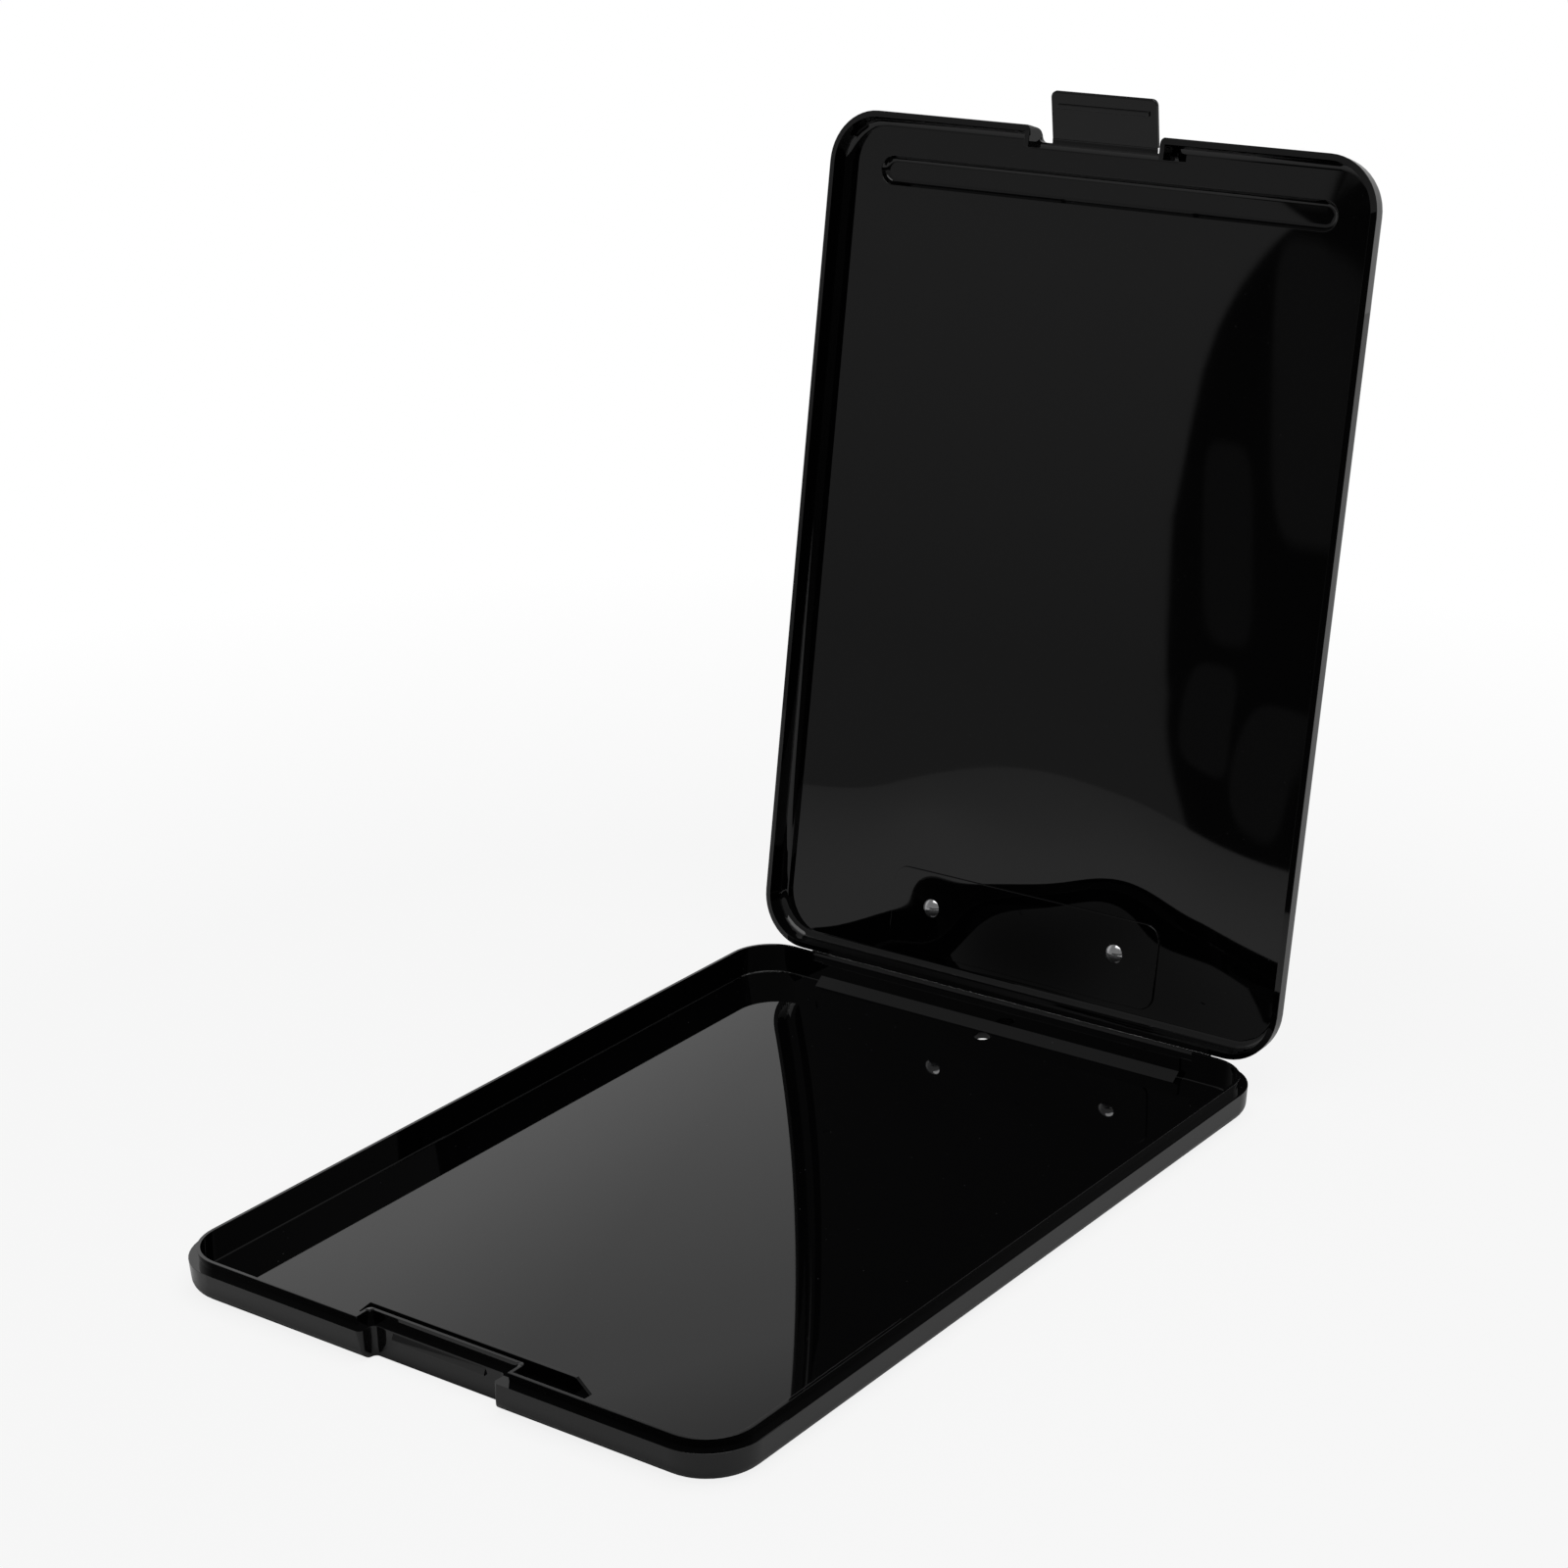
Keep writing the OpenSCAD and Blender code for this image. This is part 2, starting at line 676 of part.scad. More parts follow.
// Half of the spring's wire, from its leg on the base plate, round the pin, to the bridge
// under the thumb lever
coil_from_x = -ear_gap / 4 - coil_l / 2;
leg_l = 10;
leg_z = plate_z + spring_wire / 2 + fit_gap;
arm_turn = 40;
// how far the bridge reaches above the crest's underside, beside the lever's slope
arm_lift = 0.2;
// where the wire turns from an arm into the bridge, before and after the corner
turn_from = 1;
turn_mid = 0.3;
arm_end_z = crest_mid_z - clip_t / 2 - spring_wire / 2 + arm_lift;
arm_l = (arm_end_z - pin_z + coil_r * cos(arm_turn)) / sin(arm_turn);
coil_end = 360 * coil_turns + arm_turn;
function on_coil(a) = [coil_from_x + coil_l * a / coil_end,
                       pin_y + coil_r * sin(a), pin_z - coil_r * cos(a)];
arm_dir = [0, cos(arm_turn), sin(arm_turn)];
arm_end = on_coil(coil_end) + arm_l * arm_dir;
half_spring = concat(
    [[coil_from_x, pin_y - leg_l, leg_z]],
    [for (i = [0:coil_turns * coil_steps]) on_coil(i * 360 / coil_steps)],
    [on_coil(coil_end), arm_end - turn_from * spring_wire * arm_dir,
     arm_end - turn_mid * spring_wire * arm_dir + [turn_mid * spring_wire, 0, 0],
     arm_end + [turn_from * spring_wire, 0, 0]]
);
spring_path = concat(half_spring,
    [for (i = [len(half_spring) - 1:-1:0]) [-half_spring[i][0], half_spring[i][1], half_spring[i][2]]]);
spring_gap = min([
    for (i = [0:len(half_spring) - 1], k = [coil_steps - 2:1:len(half_spring)])
        if (i + k < len(half_spring)) norm(half_spring[i] - half_spring[i + k])
]) - spring_wire;
echo(spring_least_gap_mm = spring_gap);

// The torsion spring: two coils round the pin, a leg from each down to the base plate, and a
// bridge between them that presses up under the thumb lever
module clip_spring() {
    color(steel) on_clip() wire(spring_path, spring_wire / 2);
}

// Two steel rivets, each with a domed head inside the lid and a flat head on the base plate
module clip_rivets() {
    inner_z = -panel_t - seat_d;
    dome_r = (pow(rivet_head_r, 2) + pow(rivet_head_h, 2)) / (2 * rivet_head_h);
    color(steel) on_clip() for (side = [-1, 1]) translate([side * rivet_gap / 2, 0, 0]) {
        translate([0, 0, inner_z]) cylinder(h = plate_z - inner_z + rivet_foot_t / 2, r = rivet_r);
        translate([0, 0, plate_z]) cylinder(h = rivet_foot_t, r = rivet_foot_r);
        intersection() {
            translate([0, 0, inner_z - rivet_head_h + dome_r]) sphere(dome_r);
            translate([0, 0, inner_z - rivet_head_h])
                cylinder(h = rivet_head_h, r = rivet_head_r + over);
        }
    }
}

tray_shell();
lid_shell();
hinge_web();
latch_flap();
latch_web();
clip_base_plate();
clip_jaw();
clip_pivot_pin();
clip_spring();
clip_rivets();
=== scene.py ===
# %% [markdown]
# # A storage clipboard box in glossy black plastic
# The box is a shallow tray and a shallow lid that are moulded in one piece, with thin webs
# where they bend, and a steel spring clip on the outside of the lid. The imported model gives
# the true shapes and places. This lesson dresses it: it rounds the sharp edges so that they
# catch the light, gives each finish its own material and sets up a plain studio.

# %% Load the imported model
import math
import json
import bpy
import bmesh
from mathutils import Matrix, Vector


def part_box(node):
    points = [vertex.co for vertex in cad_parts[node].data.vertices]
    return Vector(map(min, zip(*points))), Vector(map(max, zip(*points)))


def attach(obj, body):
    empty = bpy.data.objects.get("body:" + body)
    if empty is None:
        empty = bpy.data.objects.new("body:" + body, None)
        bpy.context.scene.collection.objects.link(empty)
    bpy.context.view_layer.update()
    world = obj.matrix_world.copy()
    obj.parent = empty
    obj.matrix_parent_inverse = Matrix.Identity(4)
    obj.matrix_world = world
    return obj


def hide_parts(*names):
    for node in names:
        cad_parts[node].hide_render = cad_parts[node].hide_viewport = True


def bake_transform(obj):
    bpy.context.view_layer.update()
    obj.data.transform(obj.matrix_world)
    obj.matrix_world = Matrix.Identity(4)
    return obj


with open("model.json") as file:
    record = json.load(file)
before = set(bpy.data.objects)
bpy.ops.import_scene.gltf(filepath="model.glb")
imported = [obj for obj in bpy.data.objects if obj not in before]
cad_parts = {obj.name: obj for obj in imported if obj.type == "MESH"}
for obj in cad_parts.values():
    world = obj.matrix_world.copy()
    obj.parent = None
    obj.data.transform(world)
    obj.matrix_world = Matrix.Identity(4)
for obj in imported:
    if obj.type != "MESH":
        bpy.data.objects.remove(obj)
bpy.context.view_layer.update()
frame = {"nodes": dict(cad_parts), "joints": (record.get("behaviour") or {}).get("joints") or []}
nodes = frame["nodes"]
MM = 0.001
same_place = 1e-6
for name in sorted(nodes):
    print(name, len(nodes[name].data.polygons), "triangles")

# %% [markdown]
# ## Where the moving pieces turn
# The lid turns on a line just behind the tray's back edge, and it stands open. Several pieces
# are easier to make on the closed lid, lying flat, and to swing open with it afterwards. The
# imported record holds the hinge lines, so the same numbers are used here. The lid's lean is how
# far back the open lid goes for each metre up.

# %% Hinge lines from the record
joints = {j["name"]: j for j in frame["joints"]}
hinge_at = Vector(joints["lid_hinge"]["pos_m"])
latch_at = Vector(joints["latch_hinge"]["pos_m"])
pin_at = Vector(joints["clip_hinge"]["pos_m"])
lid_open = -math.radians(joints["lid_hinge"]["range_deg"][0])
open_lid = Matrix.Translation(hinge_at) @ Matrix.Rotation(-lid_open, 4, "X")
latch_tilt = math.radians(15)
lid_lean = math.tan(lid_open - math.pi / 2)
print("lid open by", round(math.degrees(lid_open), 1), "degrees; latch line at", latch_at[:])

# %% [markdown]
# ## The camera
# The camera stands to the right of the box and a little above it, and looks at the hinge. A
# fairly long lens keeps the box's edges close to parallel, as in a catalogue photograph. The
# picture isn't centred on the lens, so the camera has a small shift.

# %% Make the camera
cam_data = bpy.data.cameras.new("camera")
cam_data.sensor_width = 36.0
cam_data.lens = 77.655
cam_data.shift_x = -0.0369
cam_data.shift_y = 0.0661
cam_data.clip_start, cam_data.clip_end = 0.05, 60.0
camera = bpy.data.objects.new("camera", cam_data)
bpy.context.scene.collection.objects.link(camera)
right = Vector((0.812416, 0.582855, -0.016115))
up = Vector((-0.203014, 0.308665, 0.929253))
back = Vector((0.546594, -0.751669, 0.369093))
turn = Matrix((right, up, back)).transposed().to_4x4()
camera_at = (0.67147, -0.86042, 0.54959)
camera.matrix_world = Matrix.Translation(camera_at) @ turn
bpy.context.scene.camera = camera
print("camera", round(camera.location.length, 3), "m from the middle of the tray")

# %% [markdown]
# ## Small helpers for materials
# Every finish is a set of nodes round one Principled shader. These helpers start a material,
# add a node with its values, join two sockets, do sums, and turn one range of values into
# another, so that the recipes below stay short enough to read.


# %% Material helpers
def new_material(name):
    mat = bpy.data.materials.new(name)
    mat.use_nodes = True
    mat.node_tree.nodes.clear()
    out = mat.node_tree.nodes.new("ShaderNodeOutputMaterial")
    shader = mat.node_tree.nodes.new("ShaderNodeBsdfPrincipled")
    mat.node_tree.links.new(shader.outputs["BSDF"], out.inputs["Surface"])
    return mat, shader


def add(tree, kind, **values):
    node = tree.nodes.new("ShaderNode" + kind)
    for key, value in values.items():
        if key in node.inputs:
            node.inputs[key].default_value = value
        else:
            setattr(node, key, value)
    return node


def join(tree, a, b):
    tree.links.new(a, b)


def calc(tree, operation, *inputs):
    node = add(tree, "Math", operation=operation)
    for i, value in enumerate(inputs):
        if isinstance(value, (int, float)):
            node.inputs[i].default_value = value
        else:
            join(tree, value, node.inputs[i])
    return node.outputs[0]


def ramp(tree, value, low, high, at_low=0.0, at_high=1.0):
    node = add(tree, "MapRange", clamp=True)
    for name, number in (("From Min", low), ("From Max", high), ("To Min", at_low),
                         ("To Max", at_high)):
        node.inputs[name].default_value = number
    join(tree, value, node.inputs["Value"])
    return node.outputs["Result"]


# %% [markdown]
# ## Moulded gloss
# Glossy moulded plastic is never a perfect mirror. The wide panels have a long, low wave where
# they cooled, the polish has a faint haze, and a few specks of dust lie on it. Every moulded
# piece needs this with its own strengths, so it is a node group: position and strengths in,
# height, roughness and specks out. At most one cell in ten of the dust pattern holds a speck.


# %% Build the moulded gloss group
ripple_share = 0.012
speck_edge, speck_middle = 0.10, 0.05
speck_rare, speck_full = 0.90, 0.96
clearest, cloudiest = 0.4, 1.6


def make_gloss_group():
    group = bpy.data.node_groups.new("moulded_gloss", "ShaderNodeTree")
    face = group.interface
    face.new_socket("Position", in_out="INPUT", socket_type="NodeSocketVector")
    for name, value in (("Wave", 1.0), ("Haze", 0.03), ("Dust", 0.5)):
        socket = face.new_socket(name, in_out="INPUT", socket_type="NodeSocketFloat")
        socket.default_value = value
    for name in ("Height", "Roughness", "Specks"):
        face.new_socket(name, in_out="OUTPUT", socket_type="NodeSocketFloat")
    start = group.nodes.new("NodeGroupInput")
    end = group.nodes.new("NodeGroupOutput")
    wave = add(group, "TexNoise", Scale=7.0, Detail=1.0, Roughness=0.4)
    ripple = add(group, "TexNoise", Scale=42.0, Detail=2.0, Roughness=0.5)
    haze = add(group, "TexNoise", Scale=26.0, Detail=4.0, Roughness=0.6)
    specks = add(group, "TexVoronoi", Scale=420.0, Randomness=1.0)
    for tex in (wave, ripple, haze, specks):
        join(group, start.outputs["Position"], tex.inputs["Vector"])
    small = calc(group, "MULTIPLY", ripple.outputs["Fac"], ripple_share)
    both = calc(group, "ADD", wave.outputs["Fac"], small)
    join(group, calc(group, "MULTIPLY", both, start.outputs["Wave"]), end.inputs["Height"])
    split = add(group, "SeparateColor")
    join(group, specks.outputs["Color"], split.inputs["Color"])
    dots = calc(group, "MULTIPLY",
                ramp(group, specks.outputs["Distance"], speck_edge, speck_middle),
                ramp(group, split.outputs["Red"], speck_rare, speck_full))
    dusty = calc(group, "MULTIPLY", dots, start.outputs["Dust"])
    join(group, dusty, end.inputs["Specks"])
    spread = ramp(group, haze.outputs["Fac"], 0.0, 1.0, clearest, cloudiest)
    rough = calc(group, "MULTIPLY", spread, start.outputs["Haze"])
    join(group, calc(group, "ADD", rough, dusty), end.inputs["Roughness"])
    return group


gloss_group = make_gloss_group()
print("group", gloss_group.name, len(gloss_group.nodes), "nodes")

# %% [markdown]
# ## Black plastic
# The plastic is almost pure black. What the eye sees is nearly all reflection, which is strong
# at a flat angle and weak when looked at squarely. So the base colour is very dark, the
# roughness is low, and the wave of the panels bends the reflections a little.


# %% Make the black plastic
deep_black = (0.0009, 0.0009, 0.001, 1)
dust_grey = (0.06, 0.06, 0.062, 1)


def black_plastic(name, wave, haze, dust, shape=None):
    mat, shader = new_material(name)
    tree = mat.node_tree
    where = add(tree, "TexCoord")
    gloss = add(tree, "Group", node_tree=gloss_group)
    join(tree, where.outputs["Object"], gloss.inputs["Position"])
    gloss.inputs["Wave"].default_value = wave
    gloss.inputs["Haze"].default_value = haze
    gloss.inputs["Dust"].default_value = dust
    tint = add(tree, "MixRGB")
    tint.inputs["Color1"].default_value = deep_black
    tint.inputs["Color2"].default_value = dust_grey
    join(tree, gloss.outputs["Specks"], tint.inputs["Fac"])
    join(tree, tint.outputs["Color"], shader.inputs["Base Color"])
    join(tree, gloss.outputs["Roughness"], shader.inputs["Roughness"])
    bump = add(tree, "Bump", Strength=1.0, Distance=MM)
    height = gloss.outputs["Height"]
    if shape:
        height = calc(tree, "ADD", height, shape(tree, where.outputs["Object"]))
    join(tree, height, bump.inputs["Height"])
    join(tree, bump.outputs["Normal"], shader.inputs["Normal"])
    shader.inputs["IOR"].default_value = 1.5
    return mat


# %% [markdown]
# ## Panels that aren't quite flat
# A moulded panel draws in a little where it cools last. The tray's floor is crowned, highest
# along its middle. The lid's panel is pulled in round each rivet, sinks towards its foot, and
# has a wide shallow hollow above the clip. The eye can't see the forms themselves, but gloss
# shows them: the edges of the reflections bend. They are heights in millimetres, worked out
# from the place on the piece, and go into the same bump as the wave.


# %% Crown of the tray
crown_fall = 260.0  # mm down for each square metre away from the middle


def axes_of(tree, where):
    split = add(tree, "SeparateXYZ")
    join(tree, where, split.inputs["Vector"])
    return [split.outputs[axis] for axis in "XYZ"]


def squared(tree, value):
    return calc(tree, "MULTIPLY", value, value)


def tray_crown(tree, where):
    x = axes_of(tree, where)[0]
    return calc(tree, "MULTIPLY", squared(tree, x), -crown_fall)


tray_black = black_plastic("black_plastic_tray", wave=0.05, haze=0.02, dust=0.5,
                           shape=tray_crown)

# %% [markdown]
# ## Hollows of the lid
# Each hollow is a smooth bell: deepest at its middle, and without an edge that a reflection
# could catch on. It has a place, a reach across and up, where it is still three fifths as deep,
# and a depth. They are on the lid's inner face only, so the height fades out halfway through
# the panel.


# %% Hollows of the lid
# across, up, reach across and reach up in metres, and depth in millimetres
lid_hollows = [
    (-0.043, 0.043, 0.0142, 0.0142, 1.52),
    (0.043, 0.043, 0.0168, 0.0168, 1.15),
    (0.0034, 0.0042, 0.0513, 0.0283, 6.95),
    (-0.0033, 0.0824, 0.0600, 0.0248, 0.68),
]
inner_face, outer_face = 0.0094, 0.0098


def bell(tree, places, middles, reaches):
    power = 0.0
    for value, middle, reach in zip(places, middles, reaches):
        away = calc(tree, "SUBTRACT", value, middle)
        part = calc(tree, "MULTIPLY", squared(tree, away), 0.5 / reach ** 2)
        power = calc(tree, "ADD", part, power)
    return calc(tree, "EXPONENT", calc(tree, "MULTIPLY", power, -1.0))


def lid_dimples(tree, where):
    x, y, z = axes_of(tree, where)
    height = 0.0
    for across, up, wide, high, depth in lid_hollows:
        form = bell(tree, (x, z), (across, up), (wide, high))
        height = calc(tree, "ADD", calc(tree, "MULTIPLY", form, -depth), height)
    rise = calc(tree, "SUBTRACT", z, hinge_at.z)
    deep = calc(tree, "SUBTRACT", calc(tree, "SUBTRACT", y, hinge_at.y),
                calc(tree, "MULTIPLY", rise, lid_lean))
    return calc(tree, "MULTIPLY", height, ramp(tree, deep, inner_face, outer_face, 1.0, 0.0))


lid_black = black_plastic("black_plastic_lid", wave=0.12, haze=0.02, dust=0.3,
                          shape=lid_dimples)
flap_black = black_plastic("black_plastic_flap", wave=0.12, haze=0.04, dust=0.3)
web_black = black_plastic("black_plastic_web", wave=0.0, haze=0.12, dust=0.2)
print("four black finishes,", len(lid_hollows), "hollows in the lid")

# %% [markdown]
# ## Plated steel and spring wire
# The clip and its rivets are nickel-plated steel: bright, with very fine lines from rolling
# and a slightly cloudy plating. The spring is plain drawn wire, a little darker. Both are the
# same recipe with other values: stretched noise for the lines, fine noise for the clouds.


# %% Make the steels
rolling = (40.0, 1400.0, 1400.0)
line_depth = 0.00002
shade = 0.82
smoothest, roughest = 0.6, 1.5


def steel(name, color, rough, lines):
    mat, shader = new_material(name)
    tree = mat.node_tree
    where = add(tree, "TexCoord")
    stretch = add(tree, "Mapping")
    stretch.inputs["Scale"].default_value = rolling
    join(tree, where.outputs["Object"], stretch.inputs["Vector"])
    grain = add(tree, "TexNoise", Scale=1.0, Detail=3.0)
    join(tree, stretch.outputs["Vector"], grain.inputs["Vector"])
    cloud = add(tree, "TexNoise", Scale=160.0, Detail=4.0)
    join(tree, where.outputs["Object"], cloud.inputs["Vector"])
    cloudy = ramp(tree, cloud.outputs["Fac"], 0.0, 1.0, rough * smoothest, rough * roughest)
    join(tree, cloudy, shader.inputs["Roughness"])
    tint = add(tree, "MixRGB")
    tint.inputs["Color1"].default_value = (*[c * shade for c in color], 1)
    tint.inputs["Color2"].default_value = (*color, 1)
    join(tree, cloud.outputs["Fac"], tint.inputs["Fac"])
    join(tree, tint.outputs["Color"], shader.inputs["Base Color"])
    bump = add(tree, "Bump", Strength=lines, Distance=line_depth)
    join(tree, grain.outputs["Fac"], bump.inputs["Height"])
    join(tree, bump.outputs["Normal"], shader.inputs["Normal"])
    shader.inputs["Metallic"].default_value = 1.0
    return mat


plated = steel("nickel_plated_steel", (0.62, 0.62, 0.63), 0.16, 0.5)
wire_steel = steel("drawn_spring_wire", (0.42, 0.42, 0.43), 0.28, 0.6)
print("two steels")

# %% [markdown]
# ## Rounded edges on the mouldings
# A moulded edge is never sharp: it has a small round that shows as a thin bright line. The
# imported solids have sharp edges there, so a merged copy of each gets a real bevel, up to a
# fifth of a millimetre wide, and stands in for the solid. Flat areas are dissolved into single
# faces first, so that the bevel has clean edges to follow, and only the outward edges that a
# finger would feel are rounded. Weighted normals keep the flat areas flat beside the bevels.
# Crisp edges are marked here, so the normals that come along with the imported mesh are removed.


# %% Turn a mesh into a piece
def finished(bm, name, mat, sharp=50):
    mesh = bpy.data.meshes.new(name)
    bm.normal_update()
    for face in bm.faces:
        face.smooth = True
    for edge in bm.edges:
        edge.smooth = edge.calc_face_angle(0) < math.radians(sharp)
    bm.to_mesh(mesh)
    bm.free()
    old_normals = mesh.attributes.get("custom_normal")
    if old_normals:
        mesh.attributes.remove(old_normals)
    mesh.materials.append(mat)
    obj = bpy.data.objects.new(name, mesh)
    bpy.context.scene.collection.objects.link(obj)
    return obj


def stands_for(obj, node, body):
    if body:
        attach(obj, body)
    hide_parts(node)
    print(obj.name, "stands for", node, "with", len(obj.data.polygons), "faces")


def open_edges(bm):
    return sum(1 for edge in bm.edges if len(edge.link_faces) != 2)


# %% Round a node's outward edges
flat_within = math.radians(0.3)
edge_from = math.radians(40)


def round_edges(node, new_name, width, mat, keep=lambda a, b: True, sharp=50):
    bm = bmesh.new()
    bm.from_mesh(nodes[node].data)
    bmesh.ops.remove_doubles(bm, verts=bm.verts, dist=same_place)
    bmesh.ops.dissolve_limit(bm, angle_limit=flat_within, verts=bm.verts,
                             edges=bm.edges, use_dissolve_boundaries=False)
    edges = [e for e in bm.edges if len(e.link_faces) == 2 and e.is_convex
             and e.calc_face_angle(0) > edge_from
             and keep(e.verts[0].co, e.verts[1].co)]
    bmesh.ops.bevel(bm, geom=edges, offset=width, offset_type="OFFSET", segments=2,
                    profile=0.5, affect="EDGES", material=-1, clamp_overlap=False,
                    face_strength_mode="ALL")
    bmesh.ops.triangulate(bm, faces=bm.faces)
    obj = finished(bm, new_name, mat, sharp)
    weighted = obj.modifiers.new("flat areas stay flat", "WEIGHTED_NORMAL")
    weighted.keep_sharp = True
    weighted.use_face_influence = True
    print(new_name, len(edges), "edges rounded by", width / MM, "mm")
    return obj


# %% [markdown]
# ## The tray
# The tray's ledge, its raised lip and the low rib have felt edges. The round moulding mark and
# the tight corner at the foot of the walls are left as they are, because a bevel would be
# larger than they are. So are the outer corners of the latch recess, which a bevel would push
# past the tray's front. The slope at the foot of the hinge wall meets the floor at 34 degrees
# in a crisp line, so edges above 32 degrees stay sharp here.

# %% Dress the tray
tray_floor_z = 0.0026
foot_r = 0.0005
recess_side, recess_turn, recess_front = 0.026, 0.032, -0.166


def above_floor(a, b):
    at_recess = recess_side < abs(a.x) < recess_turn and max(a.y, b.y) < recess_front
    return min(a.z, b.z) > tray_floor_z + 3 * foot_r and not at_recess


tray = round_edges("tray_shell", "document_tray", 0.00016, tray_black, above_floor, sharp=32)
stands_for(tray, "tray_shell", "tray")

# %% [markdown]
# ## The lid
# The lid's rim, its pen groove, the pad round the rivets and the recess for the latch are
# rounded in the same way. Only the round moulding mark, where the plastic flowed in through a
# gate, is left as it is. Its place is known on the closed lid, so each edge of the open lid is
# swung shut in thought, with the inverse of the lid's own turn.

# %% Dress the lid
shut = open_lid.inverted()
gate_y, gate_reach = -0.0364, 0.002
shortest = 0.0001


def felt_on_lid(a, b):
    near_gate = abs(a.x) < gate_reach and abs((shut @ a).y - gate_y) < gate_reach
    return not near_gate and (a - b).length > shortest


lid = round_edges("lid_shell", "shallow_lid", 0.00018, lid_black, felt_on_lid)
stands_for(lid, "lid_shell", "lid")

# %% [markdown]
# ## The latch flap
# The flap is a thin tongue with a hook bar across its inner face. Its round free end is already
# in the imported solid, so only the side edges and the hook bar's ends need their small rounds.

# %% Dress the latch flap
flap = round_edges("latch_flap", "latch_tongue", 0.0002, flap_black)
stands_for(flap, "latch_flap", "latch")

# %% [markdown]
# ## Webs that bend
# The box has two living hinges: thin strips of the same plastic that bend thousands of times.
# Each is made as a thin upright face that is spun round the bend's middle, which gives a strip
# with even steps along the bend. The strip is made in its place on the open lid and is tied
# to neither of the two bodies that it joins.


# %% A strip that bends round a line along X
def bent_strip(name, width, thick, start, radius, turn, place, steps=14):
    bm = bmesh.new()
    bmesh.ops.create_grid(bm, x_segments=1, y_segments=1, size=0.5)
    bmesh.ops.scale(bm, vec=(width, thick, 1), verts=bm.verts)
    bmesh.ops.rotate(bm, cent=(0, 0, 0), matrix=Matrix.Rotation(math.pi / 2, 3, "X"),
                     verts=bm.verts)
    bmesh.ops.translate(bm, vec=start, verts=bm.verts)
    middle = Vector(start) + Vector((0, 0, radius))
    bmesh.ops.spin(bm, geom=bm.verts[:] + bm.edges[:] + bm.faces[:], cent=middle,
                   axis=(1, 0, 0), angle=turn, steps=steps, use_duplicate=False)
    bmesh.ops.recalc_face_normals(bm, faces=bm.faces)
    bmesh.ops.transform(bm, matrix=place, verts=bm.verts)
    volume = bm.calc_volume() / MM ** 3
    print(name, "open edges:", open_edges(bm), "volume", round(volume, 1), "mm3")
    return finished(bm, name, web_black, sharp=40)


# %% [markdown]
# ## The web of the main hinge
# On the real box this web runs along most of the tray's back edge and is less than half a
# millimetre thick. It leaves the tray level, bends round behind the gap and goes into the open
# lid at the lid's own angle, so the bend's radius follows from how far the lid stands open.

# %% The web of the main hinge
web_reach, web_drop, web_thick = 0.001, 0.00075, 0.0004
web_turn = math.pi - lid_open
web_radius = web_reach / math.tan(web_turn / 2) + web_drop
web_start = Vector((0, -web_reach, -web_drop))
web_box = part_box("hinge_web")
web = bent_strip("living_hinge", web_box[1].x - web_box[0].x, web_thick, web_start, web_radius,
                 web_turn, Matrix.Translation(hinge_at))
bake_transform(web)
stands_for(web, "hinge_web", None)

# %% [markdown]
# ## The web of the latch
# The latch's web is as wide as the flap. It is shorter and bends less, because the flap stands
# only 15 degrees away from the lid. It is made on the closed lid, upside down, and swung open.

# %% The web of the latch
latch_reach = 0.0009
latch_line = shut @ latch_at
latch_place = open_lid @ Matrix.Translation(latch_line) @ Matrix.Rotation(math.pi, 4, "X")
latch_radius = latch_reach / math.tan(latch_tilt / 2)
latch_start = Vector((0, -latch_reach, 0))
latch_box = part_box("latch_web")
latch_strip = bent_strip("latch_hinge_web", latch_box[1].x - latch_box[0].x, web_thick,
                         latch_start, latch_radius, latch_tilt, latch_place, steps=8)
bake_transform(latch_strip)
stands_for(latch_strip, "latch_web", None)

# %% [markdown]
# ## The clip's sheet metal
# The base plate and the jaw are pressed from one-millimetre sheet. Pressing rolls their edges
# over a little, so they get a bevel of about a seventh of the sheet's thickness.

# %% Dress the base plate and the jaw
sheet_round = 0.00014
plate = round_edges("clip_base_plate", "clip_plate", sheet_round, plated)
stands_for(plate, "clip_base_plate", "lid")
jaw = round_edges("clip_jaw", "clip_jaw_sheet", sheet_round, plated)
stands_for(jaw, "clip_jaw", "jaw")

# %% [markdown]
# ## Turned pieces
# Rivets and pins are round about one line. Each is drawn as half of its outline, a few points
# from one end to the other, and spun once round, which gives a true round with few faces.


# %% Spin an outline round its own line
def turned(bm, outline, place, steps=48):
    before = set(bm.verts)
    verts = [bm.verts.new((r * MM, 0, z * MM)) for r, z in outline]
    edges = [bm.edges.new(pair) for pair in zip(verts, verts[1:])]
    bmesh.ops.spin(bm, geom=verts + edges, cent=(0, 0, 0), axis=(0, 0, 1),
                   angle=2 * math.pi, steps=steps, use_merge=True, use_duplicate=False)
    own = [v for v in bm.verts if v not in before]
    bmesh.ops.transform(bm, matrix=place, verts=own)


def closed_up(bm, name):
    bmesh.ops.remove_doubles(bm, verts=bm.verts, dist=same_place)
    bmesh.ops.recalc_face_normals(bm, faces=bm.faces)
    print(name, "open edges:", open_edges(bm))


# %% [markdown]
# ## The two rivets
# The rivets hold the clip's base plate to the lid. Their inner heads are low domes with a thin
# rim, and the far heads are flat where the tool flattened them. Both are one piece, because
# they are the same in everything but their place.


# %% The two rivets
def dome(rim_r, height, base_z, steps=10):
    ball = (rim_r ** 2 + height ** 2) / (2 * height)
    reach = math.asin(rim_r / ball)
    points = []
    for i in range(steps + 1):
        a = reach * i / steps
        points.append((ball * math.sin(a), base_z - height + ball * (1 - math.cos(a))))
    return points


